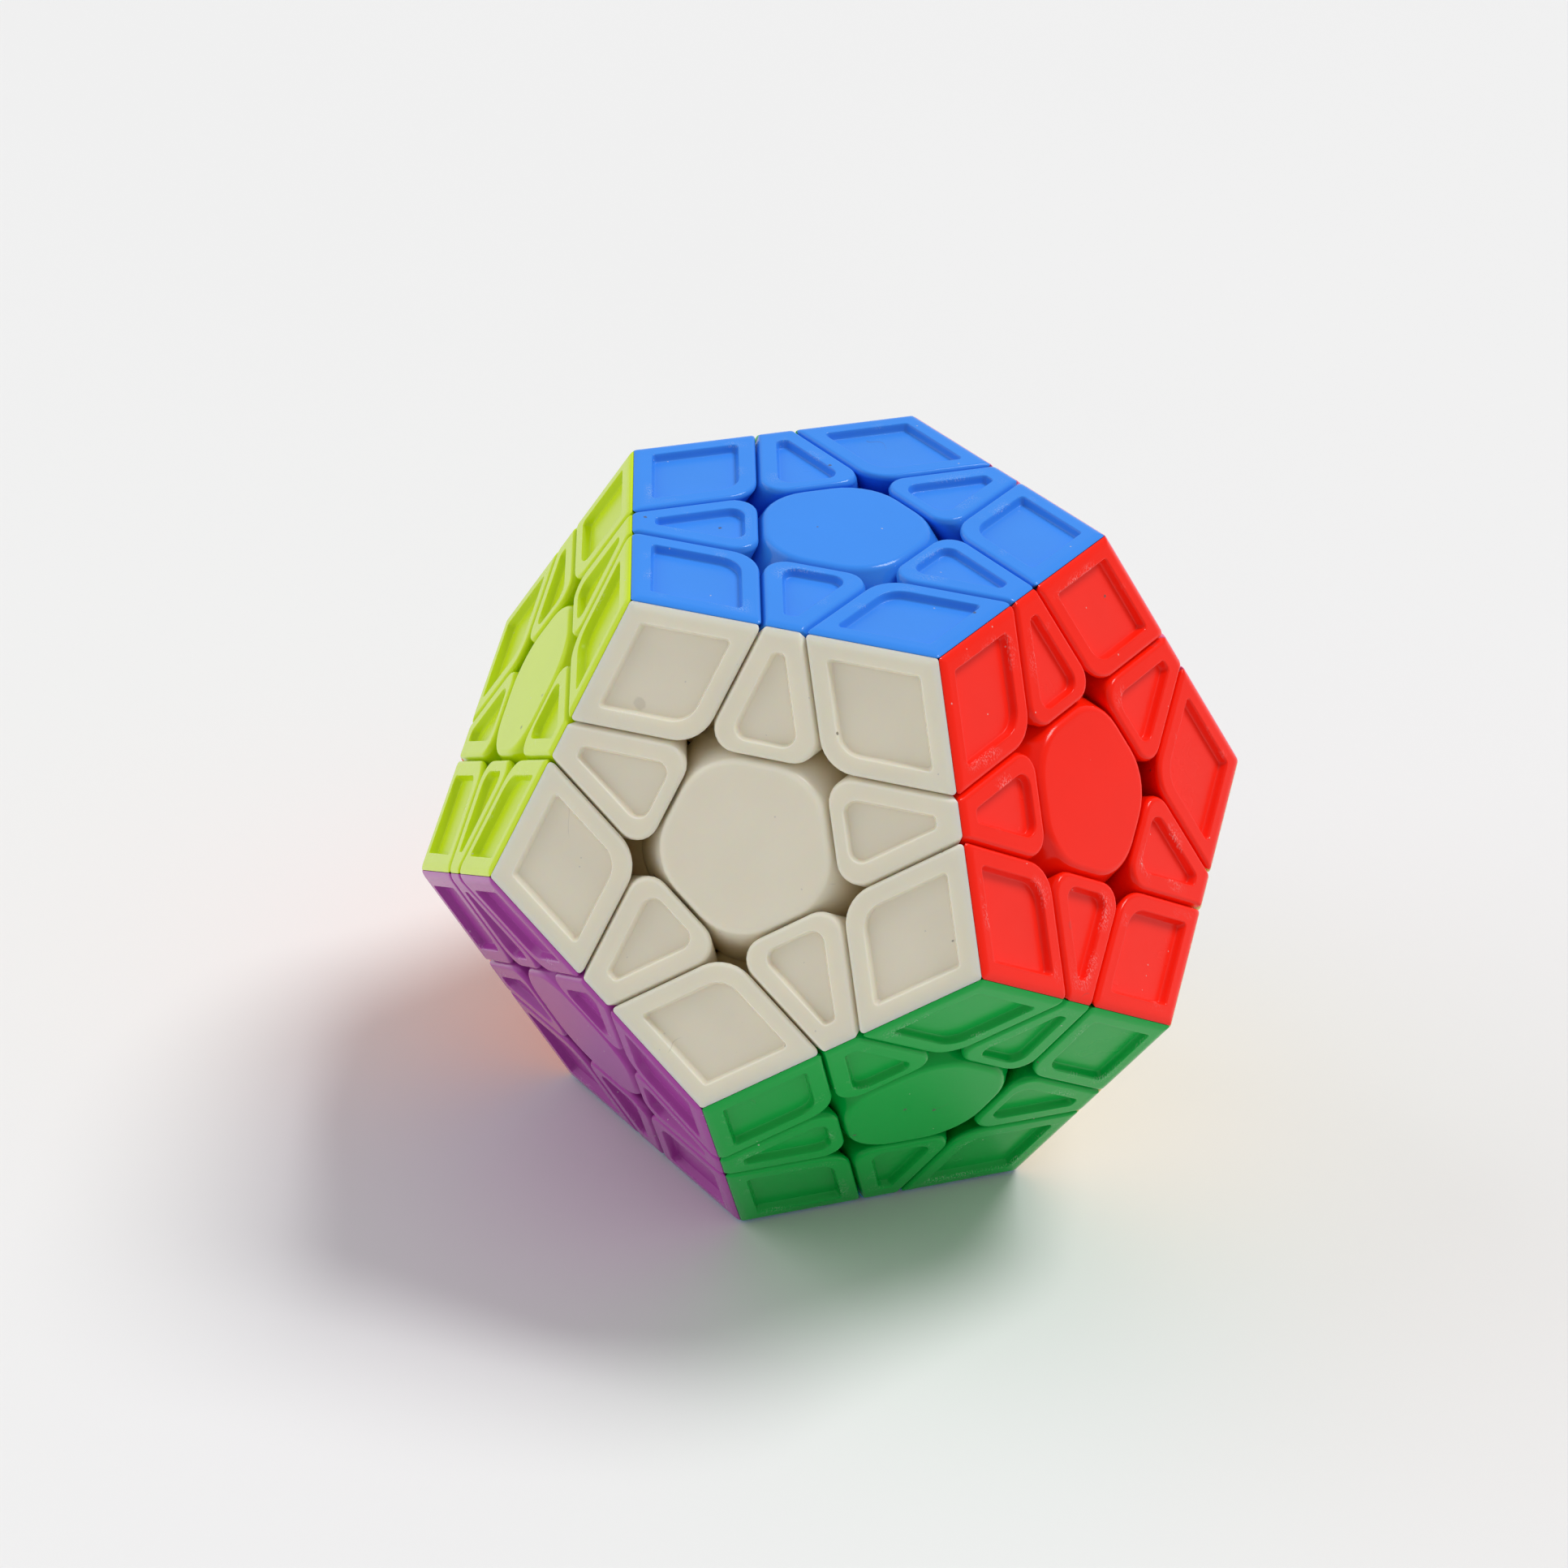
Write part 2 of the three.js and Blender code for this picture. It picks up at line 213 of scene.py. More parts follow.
class PuzzleSizes(bpy.types.PropertyGroup):
    side_width: length("Side width", "Edge tile where its two colours meet", 3.3)
    gap: length("Gap", "Clearance between neighbouring feet", 0.3)
    tile_gap: length("Tile gap", "Clearance between neighbouring tiles", 0.17)
    seam: length("Seam", "Half the fine line between two colours of one piece", 0.035)
    fillet: length("Fillet", "Rounding of a tile along its cuts", 0.45)
    cap_fillet: length("Cap fillet", "Rounding of a centre cap's rim", 0.72)
    cap_inset: length("Cap inset", "Extra clearance around a centre cap", 0.12)
    ridge: length("Ridge", "Rounding of the ridge where two colours meet", 1.7)
    corner_round: length("Corner round", "Inner corner of a corner tile", 4.0)
    side_round: length("Side round", "Inner corners of an edge tile", 2.2)
    cap_round: length("Cap round", "Corners of a centre cap", 5.7)
    crisp: length("Crisp", "Corners that look sharp", 0.45)
    panel_depth: length("Panel depth", "How far a panel is sunk", 0.80)
    panel_slope: length("Panel slope", "Width of the slope around a panel", 0.38)
    corner_rim: length("Corner rim", "Rim around a corner tile's panel", 1.95)
    side_rim: length("Side rim", "Rim beside an edge tile's panel", 1.55)
    base_rim: length("Base rim", "Rim of an edge tile towards the centre", 1.5)
    tip_rim: length("Tip rim", "Rim of an edge tile between its panel's tip and the ridge", 2.3)
    foot_reach: length("Foot reach", "Feet past the inner tips of the corner blocks", 2.25)
    foot_end: length("Foot end", "Middle of the puzzle to the flat ends of the feet", 15.21)
    foot_lean: angle("Foot lean", "Half angle of a centre's foot", 13.5)
    foot_round: length("Foot round", "Rounding of a foot's upper edge", 0.6)
    cap_wall: length("Cap wall", "Thickness of a centre cap", 1.9)
    cavity: length("Cavity", "Radius of a centre's cavity", 3.3)
    cavity_floor: length("Cavity floor", "Floor under the spring", 3.2)
    bore: length("Bore", "Radius of the hole for the screw", 1.8)
    screw: length("Screw", "Radius of a screw's shank", 1.4)
    thread: length("Thread", "Depth of a screw's thread", 0.22)
    thread_pitch: length("Thread pitch", "One turn of a screw's thread", 0.9)
    screw_bite: length("Screw bite", "Length of a screw inside the core", 6.0)
    head: length("Head", "Radius of a screw's head", 2.9)
    head_height: length("Head height", "Height of a screw's head", 1.8)
    spring_room: length("Spring room", "Cavity floor to the screw's head", 4.6)
    wire: length("Wire", "Radius of the spring wire", 0.32)
    spring: length("Spring", "Radius of a spring to the middle of its wire", 2.3)
    washer: length("Washer", "Thickness of the washer under a head", 0.4)
    boss: length("Boss", "Radius of the core's bosses", 4.2)
    boss_height: length("Boss height", "How far the bosses stand up", 0.7)


LINEAR = {  # each face's plastic, linear
    "blue": (0.042, 0.265, 0.87),
    "white": (0.90, 0.838, 0.69),
    "red": (1.0, 0.015, 0.003),
    "pink": (0.90, 0.22, 0.42),
    "mint": (0.16, 0.66, 0.25),
    "lime": (0.62, 0.82, 0.002),
    "green": (0.0, 0.41, 0.056),
    "cream": (0.88, 0.70, 0.30),
    "grey": (0.25, 0.26, 0.28),
    "orange": (1.0, 0.17, 0.02),
    "purple": (0.40, 0.055, 0.36),
    "sky": (0.10, 0.50, 0.85),
}


class PuzzleColours(bpy.types.PropertyGroup):
    __annotations__ = {
        **{n: colour(n.title(), f"Plastic of the {n} face", value) for n, value in LINEAR.items()},
        "core": colour("Core", "Plastic of the core and the feet", (0.032, 0.030, 0.030)),
        "steel": colour("Steel", "Screws, springs and washers", (0.56, 0.56, 0.54)),
        "dust": colour("Dust", "Specks on the plastic", (0.10, 0.09, 0.08)),
        "lint": colour("Lint", "Pale motes on the plastic", (0.62, 0.60, 0.56)),
        # painted sheen: the pale grey that the sunk panels are mixed towards, for the sheen of their rougher
        # surface
        "film": colour("Film", "Dull film on the sunk panels", (0.55, 0.55, 0.54)),
    }


class PuzzleFinish(bpy.types.PropertyGroup):
    roughness: share("Roughness", "Gloss of the moulded plastic", 0.16)
    panel_roughness: share("Panel roughness", "Gloss of the sunk panels", 0.26)
    # painted sheen: how far the sunk panels are mixed towards that pale grey
    film: share("Film", "How much film lies on a panel", 0.015)
    peel: number("Peel", "Height of the moulding's fine unevenness, micrometres", 1.6)
    scuffs: share("Scuffs", "How pale the scuffs along the edges are", 0.22)
    smudges: share("Smudges", "How much the gloss changes from place to place", 0.10)
    specular: share("Specular", "Strength of the surface's own reflection", 0.22)
    passing: share("Passing light", "How much light passes through the pale plastics", 0.6)
    passing_reach: length("Passing reach", "How far that light goes", 1.6)
    # painted shade: how much darker and richer the plastic is painted down in the gaps, for shade and light
    # passed through it
    gap_shade_strength: share("Deep tone", "How much richer the colour is down in the gaps", 0.85)


class PuzzleStage(bpy.types.PropertyGroup):
    azimuth: angle("Azimuth", "Where the camera stands, from +X", -74.85)
    elevation: angle("Elevation", "How high the camera stands", 32.6)
    roll: angle("Roll", "Turn of the camera about its own line of sight", 2.94)
    distance: length("Distance", "Camera to the puzzle", 402)
    shift_right: number("Shift right", "Target, right of the puzzle's middle, mm", -4.54)
    shift_up: number("Shift up", "Target, above the puzzle's middle, mm", 2.96)
    lens: number("Lens", "Focal length, mm, for a 36 mm sensor", 91.3)
    floor: colour("Floor", "The floor", (0.82, 0.82, 0.82))
    sky_light: number("Sky light", "Strength of the light from all round", 0.46)
    key_light: number("Key light", "Strength of the key light", 1.9)
    key_size: angle("Key size", "Angle that the key light fills", 24)
    fill_light: number("Fill light", "Strength of the fill light", 0.80)
    fill_size: angle("Fill size", "Angle that the fill light fills", 60)


# ---------------------------------------------------------------- meshes


def gap_shade_share(points):
    """How far down points lie, from 0 just under the sunk panels to 1 at the bottom of the gaps.

    The depth is what is left between a point and the nearest face's plane. It sets the painted shade in the
    gaps.
    """
    depth = IN_RADIUS - (points @ AXES.T).max(axis=1)
    return np.clip((depth - GAP_SHADE_FROM) / (GAP_SHADE_TO - GAP_SHADE_FROM), 0, 1)


def put(name, points, faces, marks=None):
    """A smooth mesh object at the origin, from points in millimetres, with each mark's number per point."""
    # every mesh carries a mark of how far down each point lies, which the plastic uses to paint shade in the
    # gaps
    marks = {"deep": gap_shade_share(points), **(marks or {})}
    mesh = bpy.data.meshes.new(name)
    mesh.from_pydata((points * MM).tolist(), [], faces)
    mesh.shade_smooth()
    mesh.set_sharp_from_angle(angle=SHARP)
    for mark, values in marks.items():
        mesh.attributes.new(mark, "FLOAT", "POINT").data.foreach_set("value", values.astype(np.float32))
    made = bpy.data.objects.new(name, mesh)
    bpy.context.scene.collection.objects.link(made)
    return made


def bands(rows, columns, closed=False):
    """Quads between neighbouring rows of a grid whose columns run right round.

    Closed joins the last row to the first.
    """
    here = np.arange(rows if closed else rows - 1)[:, None] * columns
    above = (here + columns) % (rows * columns)
    i = np.arange(columns)[None, :]
    j = (i + 1) % columns
    return np.stack([here + i, above + i, above + j, here + j], -1).reshape(-1, 4).tolist()


def fans(rows, columns):
    """Triangles from a first and a last point, kept after the grid, to the grid's first and last rows."""
    i = np.arange(columns)
    j = (i + 1) % columns
    first, last = rows * columns, rows * columns + 1
    end = (rows - 1) * columns
    top = np.stack([np.full(columns, first), i, j], -1)
    bottom = np.stack([end + j, end + i, np.full(columns, last)], -1)
    return top.tolist() + bottom.tolist()


def skin(name, rows, first, last, turn, marks=None):
    """A closed skin: a grid of rings that ends in a point at each side, turned into place."""
    count, columns = rows.shape[:2]
    points = np.vstack([rows.reshape(-1, 3), first, last]) @ np.array(turn).T
    spread = {
        mark: np.append(np.repeat(values, columns), [values[0], values[-1]])
        for mark, values in (marks or {}).items()
    }
    return put(name, points, bands(count, columns) + fans(count, columns), spread)


def finish_piece(made, materials, names):
    """Gives a piece its materials, its body and the CAD node that it stands for."""
    node = node_of(names)
    for material in materials:
        made.data.materials.append(material)
    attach(made, BODY_OF[node])
    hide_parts(node)


# ---------------------------------------------------------------- tiles


def outline(bearings, offsets, radii, arc=8, straight=4):
    """Rounded polygons, one for each row of offsets.

    Side i faces its bearing and lies at its offset from the middle. Two sides meet in an arc that
    touches both: its centre is where they would meet if each were drawn in by the radius.
    Between two arcs the points run evenly along the side.
    """
    a = np.radians(bearings)
    b = np.roll(a, -1)
    turn = (b - a) % TAU
    near = offsets - radii
    far = np.roll(offsets, -1, axis=1) - radii
    centre = np.stack(
        [near * np.sin(b) - far * np.sin(a), far * np.cos(a) - near * np.cos(b)], -1
    ) / np.sin(turn)[None, :, None]
    bearing = a[:, None] + turn[:, None] * np.linspace(0, 1, arc)
    around = np.stack([np.cos(bearing), np.sin(bearing)], -1)
    arcs = centre[:, :, None, :] + radii[:, :, None, None] * around
    step = np.linspace(0, 1, straight + 2)[1:-1][:, None]
    start, end = arcs[:, :, -1:, :], np.roll(arcs, -1, axis=1)[:, :, :1, :]
    sides = start + (end - start) * step
    return np.concatenate([arcs, sides], axis=2).reshape(len(offsets), -1, 2)


def rings_within(ring, middle, shares=FLAT_RINGS):
    """Smaller copies of a ring about a middle, for a flat."""
    return middle + (ring - middle) * np.array(shares)[:, None, None]


def cut_inset(depth, radius, lean):
    """How far a rounded rim stands in from its wall, at a depth.

    The wall moves out by lean for each unit of depth. The rim is a circle that touches the flat top
    and the wall, so the inset is the wall less the circle, down to where they touch.
    """
    slant = math.hypot(1, lean)
    d = np.minimum(depth, radius * (1 - lean / slant))
    circle = radius * (lean - slant) + np.sqrt(np.maximum(radius**2 - (radius - d) ** 2, 0))
    return lean * d - circle


def ridge_inset(depth, radius, seam):
    """The same for a ridge shared with another face: a circle whose middle lies on the wall between them."""
    up = radius - np.minimum(depth, radius)
    circle = MITRE_LEAN * radius + np.sqrt(np.maximum(radius**2 - up**2, 0))
    return np.maximum(MITRE_LEAN * depth - circle, 0) + seam


class Tile:
    """One coloured tile: which way its sides face, what they are, and its rounded corners.

    A side is "inside" where the tile belongs to the layer beyond it, "beside" where it doesn't, and
    "mitre" where the next colour of the same piece begins. Clearance is what is left free beside the cuts.
    """

    LEANS = {"inside": -CUT_LEAN, "beside": CUT_LEAN, "mitre": MITRE_LEAN}

    def __init__(self, sizes, bearings, kinds, radii, fillet, clearance):
        self.sizes = sizes
        self.bearings = np.array(bearings, float)
        self.kinds = kinds
        self.radii = np.array(radii) / MM
        self.fillet = fillet / MM
        self.lean = np.array([self.LEANS[kind] for kind in kinds])
        cut = APOTHEM - side_inset(sizes)
        clear = clearance / MM / math.sin(NEIGHBOUR)
        start = {"inside": -cut - clear, "beside": cut - clear, "mitre": APOTHEM}
        self.start = np.array([start[kind] for kind in kinds])

    def insets(self, depth):
        """How far each side's rounded rim stands in from its wall, one row for each depth."""
        ridge, seam = self.sizes.ridge / MM, self.sizes.seam / MM
        return np.stack(
            [
                ridge_inset(depth, ridge, seam) if kind == "mitre" else cut_inset(depth, self.fillet, lean)
                for kind, lean in zip(self.kinds, self.lean)
            ],
            -1,
        )

    def offsets(self, depth, insets):
        """Where the sides lie at each depth: the wall's own place less the inset."""
        return self.start + self.lean * depth[:, None] - insets

    def rings(self, depth, insets, radii):
        """The tile's outlines at these depths, as points in space with the face up."""
        flat = outline(self.bearings, self.offsets(depth, insets), radii)
        height = np.broadcast_to((IN_RADIUS - depth)[:, None, None], flat.shape[:2] + (1,))
        return np.concatenate([flat, height], -1)

    def rim(self):
        """Rings over the rounded rim, whose depths are those of a quarter circle."""
        reach = self.fillet * 1.5
        depth = reach * (1 - np.cos(np.linspace(0, math.pi / 2, 11)))
        insets = self.insets(depth)
        radii = np.maximum(self.radii - insets.mean(1)[:, None] * 0.8, self.sizes.crisp / MM * 0.7)
        rows = self.rings(depth, insets, radii)
        support = self.rings(np.zeros(1), insets[:1] + SUPPORT, radii[:1])
        return np.concatenate([support, rows]), depth[-1], radii[-1:]

    def wall(self, depth, radii, sphere, steps=4):
        """Rings down the walls, where each point runs straight on to a sphere about the puzzle's middle."""
        zero = np.zeros((1, len(self.kinds)))
        seam = np.where(np.array(self.kinds) == "mitre", self.sizes.seam / MM, 0)[None, :] + zero
        start = self.rings(np.array([depth]), seam, radii)[0]
        run = self.rings(np.array([depth + 1]), seam, radii)[0] - start
        a = (run**2).sum(1)
        b = (start * run).sum(1)
        c = (start**2).sum(1) - sphere**2
        reach = (-b - np.sqrt(np.maximum(b * b - a * c, 0))) / a
        step = np.linspace(0, 1, steps + 1)[1:, None, None]
        return start + run * reach[None, :, None] * step

    def underside(self, edge, sphere, pole, steps=3):
        """Rings on the sphere, from the walls' lower ends in to a pole."""
        step = np.linspace(0, 1, steps + 1)[1:-1, None, None]
        rows = edge[None] * (1 - step) + pole * step
        return rows * sphere / np.linalg.norm(rows, axis=2, keepdims=True)

    def panel(self, rims, floor_rims, top_radii, floor_radii):
        """Rings from the sunk panel's floor up the slope to the rim.

        Across the slope the depth follows half a cosine wave, so both of its edges are soft.
        """
        drop = self.sizes.panel_depth / MM
        s = np.linspace(1, 0, 10)[:, None]
        depth = drop * (1 - np.cos(math.pi * s[:, 0])) / 2
        # a panel's own sides don't lean, so the lean is taken out again
        insets = rims * (1 - s) + floor_rims * s + self.lean * depth[:, None]
        radii = top_radii * (1 - s) + floor_radii * s
        slope = self.rings(depth, insets, radii)
        tighter = np.maximum(radii[:1] - 0.06, 0.05)
        floor = self.rings(np.array([drop]), insets[:1] + PANEL_SUPPORT, tighter)[0]
        middle = floor.mean(0)
        floors = rings_within(floor, middle, (*FLAT_RINGS, 1))
        support = self.rings(np.zeros(1), rims[None] - PANEL_SUPPORT, top_radii[None] + 0.05)
        rows = np.concatenate([floors, slope, support])
        sunk = np.concatenate([np.ones(3), s[:, 0], [0]])
        return rows, middle, sunk


def tile_piece(name, tile, sphere, pole, turn, panel):
    """A tile as one closed skin: sunk panel, rim, walls, and an underside on a sphere."""
    rim, depth, radii = tile.rim()
    wall = tile.wall(depth, radii, sphere)
    under = tile.underside(wall[-1], sphere, pole)
    top, middle, sunk = tile.panel(*panel)
    rows = np.concatenate([top, rim, wall, under])
    sunk = np.append(sunk, np.zeros(len(rows) - len(sunk)))
    worn = np.zeros(len(rows))
    worn[len(top) - WORN_RINGS : len(top)] = 1
    end = np.array(pole) * sphere / np.linalg.norm(pole)
    return skin(name, rows, middle, end, turn, {"sunk": sunk, "worn": worn})


def corner_tile(sizes):
    """A corner piece's tile, with X from the face's middle towards the vertex."""
    crisp = sizes.crisp
    return Tile(
        sizes,
        [-36, 36, 144, 216],
        ["mitre", "mitre", "inside", "inside"],
        [crisp, crisp, sizes.corner_round, crisp],
        sizes.fillet,
        sizes.tile_gap / 2,
    )


def edge_tile(sizes):
    """An edge piece's tile, with X from the face's middle towards the edge."""
    crisp = sizes.crisp
    return Tile(
        sizes,
        [-72, 0, 72, 180],
        ["beside", "mitre", "beside", "inside"],
        [crisp, crisp, sizes.side_round, sizes.side_round],
        sizes.fillet,
        sizes.tile_gap / 2,
    )


def corner_panel(sizes):
    """Insets and corner radii of a corner tile's panel, at the rim and at the floor."""
    rim = np.full(4, sizes.corner_rim / MM)
    floor = rim + sizes.panel_slope / MM
    round_ = sizes.corner_round / MM
    return rim, floor, np.array([0.45, 0.45, round_ * 0.72, 0.45]), np.array([0.3, 0.3, round_ * 0.55, 0.3])


def edge_panel(sizes):
    """The same for an edge tile, whose panel is a triangle cut blunt towards the ridge."""
    beside, base = sizes.side_rim / MM, sizes.base_rim / MM
    rim = np.array([beside, sizes.tip_rim / MM, beside, base])
    floor = rim + sizes.panel_slope / MM
    return rim, floor, np.array([0.6, 0.6, 1.35, 1.35]), np.array([0.4, 0.4, 0.9, 0.9])


# ---------------------------------------------------------------- feet


def reach_of(azimuth, inside, outside, half_angle, clear):
    """How far a foot reaches from its axis, as an angle, at each azimuth.

    Each neighbour is a cone about a face's axis, given by that axis's tilt and azimuth. The angle at
    which a direction crosses the cone comes from the cosine rule on the sphere. A foot stays within
    its own faces' cones and outside the others, and a soft minimum rounds it where two cones meet.
    """
    limits = []
    for sign, cones in ((1, inside), (-1, outside)):
        wide = half_angle - sign * clear
        for tilt, bearing in cones:
            across = math.sin(tilt) * np.cos(azimuth - bearing)
            size = np.hypot(math.cos(tilt), across)
            toward = np.arctan2(across, math.cos(tilt))
            crossing = toward + sign * np.arccos(np.clip(np.cos(wide) / size, -1, 1))
            missed = (size <= np.cos(wide)) | (crossing <= 0)
            limits.append(np.where(missed, FREE, crossing))
    return -np.log(np.exp(-FOOT_SOFTNESS * np.array(limits)).sum(0)) / FOOT_SOFTNESS


def on_sphere(radius, tilt, azimuth):
    """Points at a radius, a tilt from Z and an azimuth."""
    return np.stack(
        [
            radius * np.sin(tilt) * np.cos(azimuth),
            radius * np.sin(tilt) * np.sin(azimuth),
            radius * np.cos(tilt),
        ],
        -1,
    )


def foot_radius(sizes):
    """The sphere that the tops of the feet lie on."""
    cut = IN_RADIUS - side_inset(sizes) * math.sin(NEIGHBOUR)
    return cut / math.cos(CORNER_TILT) + sizes.foot_reach / MM


def foot_rows(sizes, inside, outside, neck, count=96):
    """Rings of a foot: a neck, a top on the sphere with a rounded edge, leaning sides and a flat end."""
    azimuth = np.linspace(0, TAU, count, endpoint=False)
    gap, top = sizes.gap / MM / 2, foot_radius(sizes) - sizes.gap / MM / 2
    round_, end = sizes.foot_round / MM, sizes.foot_end / MM

    def tilt(radius):
        return reach_of(azimuth, inside, outside, NEIGHBOUR - sizes.foot_lean, np.arcsin(gap / radius))

    wide = tilt(top)
    rows = [on_sphere(top + NECK_RISE, wide * neck, azimuth), on_sphere(top, wide * neck, azimuth)]
    for bend in np.linspace(0, math.pi / 2, 6):
        radius = top - round_ * (1 - math.cos(bend))
        drawn_in = round_ * (1 - math.sin(bend)) / top
        rows.append(on_sphere(radius, tilt(radius) - drawn_in, azimuth))
    foot = end / np.cos(tilt(end))
    low = top - round_
    for step in (0.25, 0.5, 0.75, 1):
        radius = low + (foot - low) * step
        rows.append(on_sphere(radius, tilt(radius), azimuth))
    last = rows[-1]
    rows.append(last * np.array([0.93, 0.93, 1]))
    return np.array(rows), azimuth


def foot_piece(names, sizes, inside, outside, neck):
    """A solid foot, closed by a point on its neck and one on its flat end.

    It is moulded in as many parts as its piece has colours, split where two faces are as near as each other.
    """
    axis = sum((FACES[n] for n in names), Vector()).normalized()
    rows, _ = foot_rows(sizes, inside, outside, neck)
    top = np.array([0, 0, foot_radius(sizes) + NECK_RISE - sizes.gap / MM / 2])
    end = np.array([0, 0, sizes.foot_end / MM])
    made = skin(f"{kind_of(names)}_{'_'.join(names)}_foot", rows, top, end, basis(axis, FACES[names[0]]))
    middles = np.zeros(len(made.data.polygons) * 3)
    made.data.polygons.foreach_get("center", middles)
    nearest = np.argmax(middles.reshape(-1, 3) @ np.array([tuple(FACES[n]) for n in names]).T, axis=1)
    finish_piece(made, [look(n) for n in names], names)
    made.data.polygons.foreach_set("material_index", nearest)


def circle_row(radius, height, azimuth):
    """A level ring about Z."""
    return np.stack([radius * np.cos(azimuth), radius * np.sin(azimuth), np.full_like(azimuth, height)], -1)


# ---------------------------------------------------------------- mechanism


def head_from(sizes):
    """Height of the underside of a screw's head."""
    return (sizes.foot_end + sizes.cavity_floor + sizes.spring_room) / MM


def screw_piece(name, sizes, turn, count=36):
    """A pan-headed screw with a cross in its head.

    The head's top is a dome, sunk where a point lies within the cross. The shank's radius is the
    core's plus the thread's, a triangle wave of height over pitch less azimuth over a full turn.
    """
    azimuth = np.linspace(0, TAU, count, endpoint=False)
    radius, low = sizes.head / MM, head_from(sizes)
    high = low + sizes.head_height / MM
    spread = radius * np.linspace(0.06, 1, 14)
    x, y = spread[:, None] * np.cos(azimuth), spread[:, None] * np.sin(azimuth)
    dome = high - 0.45 * (spread[:, None] / radius) ** 2 + 0 * x
    arm = np.minimum(np.abs(x), np.abs(y))
    across = np.clip((0.5 - arm) / 0.2, 0, 1) * np.clip((1.8 - spread[:, None]) / 0.3, 0, 1)
    top = np.stack([x, y, dome - 0.9 * across], -1)
    bend = np.linspace(0, math.pi / 2, 5)[1:]
    edge = [
        circle_row(radius + 0.1 * math.sin(t), high - 0.45 - 0.25 * (1 - math.cos(t)), azimuth) for t in bend
    ]
    shank = sizes.screw / MM
    under = [circle_row(radius + 0.1, low, azimuth), circle_row(shank, low, azimuth)]
    height = np.linspace(low - 0.2, sizes.foot_end / MM - sizes.screw_bite / MM, 150)[:, None]
    phase = (height / (sizes.thread_pitch / MM) - azimuth / TAU) % 1
    depth = sizes.thread / MM * np.abs(2 * phase - 1) * np.clip((low - 4 - height) / 1, 0, 1)
    taper = np.clip((height - height[-1]) / 1.2, 0.35, 1)
    size = (shank - depth) * taper
    thread = np.stack([size * np.cos(azimuth), size * np.sin(azimuth), height + 0 * size], -1)
    rows = np.concatenate([top, np.array(edge + under), thread])
    first = np.array([0, 0, high - 0.9])
    return skin(name, rows, first, np.array([0, 0, height[-1, 0] - 0.4]), turn)


def spring_piece(name, sizes, turn, turns=5.5, steps=230, sides=10):
    """A round wire carried along a helix that lies flat for three quarters of a turn at each end."""
    wire, radius = sizes.wire / MM, sizes.spring / MM
    low = (sizes.foot_end + sizes.cavity_floor) / MM + wire
    high = head_from(sizes) - sizes.washer / MM - wire - 0.05
    s = np.linspace(0, 1, steps)
    azimuth = TAU * turns * s
    rest = 0.75 / turns
    rise = np.clip((s - rest) / (1 - 2 * rest), 0, 1)
    closed = (wire * 1.9) * np.clip(np.minimum(s, 1 - s) / rest, 0, 1)
    height = low + closed + (high - low - 2 * wire * 1.9) * rise + 2 * (s > 0.5) * (wire * 1.9 - closed)
    out = np.stack([np.cos(azimuth), np.sin(azimuth), 0 * s], -1)
    path = radius * out + np.stack([0 * s, 0 * s, height], -1)
    bearing = np.linspace(0, TAU, sides, endpoint=False)
    up = np.array([0, 0, 1])
    tube = path[:, None] + wire * (
        np.cos(bearing)[None, :, None] * up + np.sin(bearing)[None, :, None] * out[:, None]
    )
    return skin(name, tube, path[0], path[-1], turn)


def core_rows(sizes, rings=96, count=192):
    """A ball with a round boss towards each face.

    The radius at a direction is the ball's, and within a boss it is what keeps the boss flat, blended
    with a smooth step of the angle to the nearest face axis.
    """
    tilt = np.linspace(0, math.pi, rings + 2)[1:-1][:, None]
    azimuth = np.linspace(0, TAU, count, endpoint=False)[None, :]
    way = on_sphere(1, tilt + 0 * azimuth, azimuth + 0 * tilt)
    nearest = np.max(way @ AXES.T, axis=-1)
    flat = (sizes.foot_end - sizes.gap) / MM
    ball = flat - sizes.boss_height / MM
    away = np.sqrt(np.maximum(1 / nearest**2 - 1, 0)) * flat
    step = np.clip((sizes.boss / MM - away) / 0.6, 0, 1)
    smooth = step * step * (3 - 2 * step)
    radius = ball * (1 - smooth) + flat / nearest * smooth
    return way * radius[..., None], np.array([0, 0, flat])


# ---------------------------------------------------------------- materials

MIX_FIRST, MIX_SECOND, MIX_RESULT = 6, 7, 2  # a colour mix's sockets, whose names repeat for each kind


class Value:
    """A number, colour or vector inside a material. Sums on it add Math nodes."""

    def __init__(self, tree, socket=None):
        self.tree = tree
        self.socket = socket

    def add(self, kind, settings, sockets, out=0):
        """Adds a node of a kind, with its settings first, then its sockets' values or links."""
        made = self.tree.nodes.new(kind)
        for key, value in settings.items():
            setattr(made, key, value)
        self.fill(made, sockets)
        return Value(self.tree, made.outputs[out])

    def fill(self, node, sockets):
        """Sets a node's sockets to values, or links them."""
        for key, value in sockets.items():
            if isinstance(value, Value):
                self.tree.links.new(value.socket, node.inputs[key])
            else:
                node.inputs[key].default_value = value

    def math(self, operation, *values, clamp=False):
        settings = {"operation": operation, "use_clamp": clamp}
        return self.add("ShaderNodeMath", settings, dict(enumerate(values)))

    def __add__(self, other):
        return self.math("ADD", self, other)

    def __sub__(self, other):
        return self.math("SUBTRACT", self, other)

    def __mul__(self, other):
        return self.math("MULTIPLY", self, other)

    def __truediv__(self, other):
        return self.math("DIVIDE", self, other)

    def __gt__(self, other):
        return self.math("GREATER_THAN", self, other)

    def __rsub__(self, other):
        return self.math("SUBTRACT", other, self)

    def clamped(self):
        return self.math("ADD", self, 0.0, clamp=True)

    def absolute(self):
        return self.math("ABSOLUTE", self)


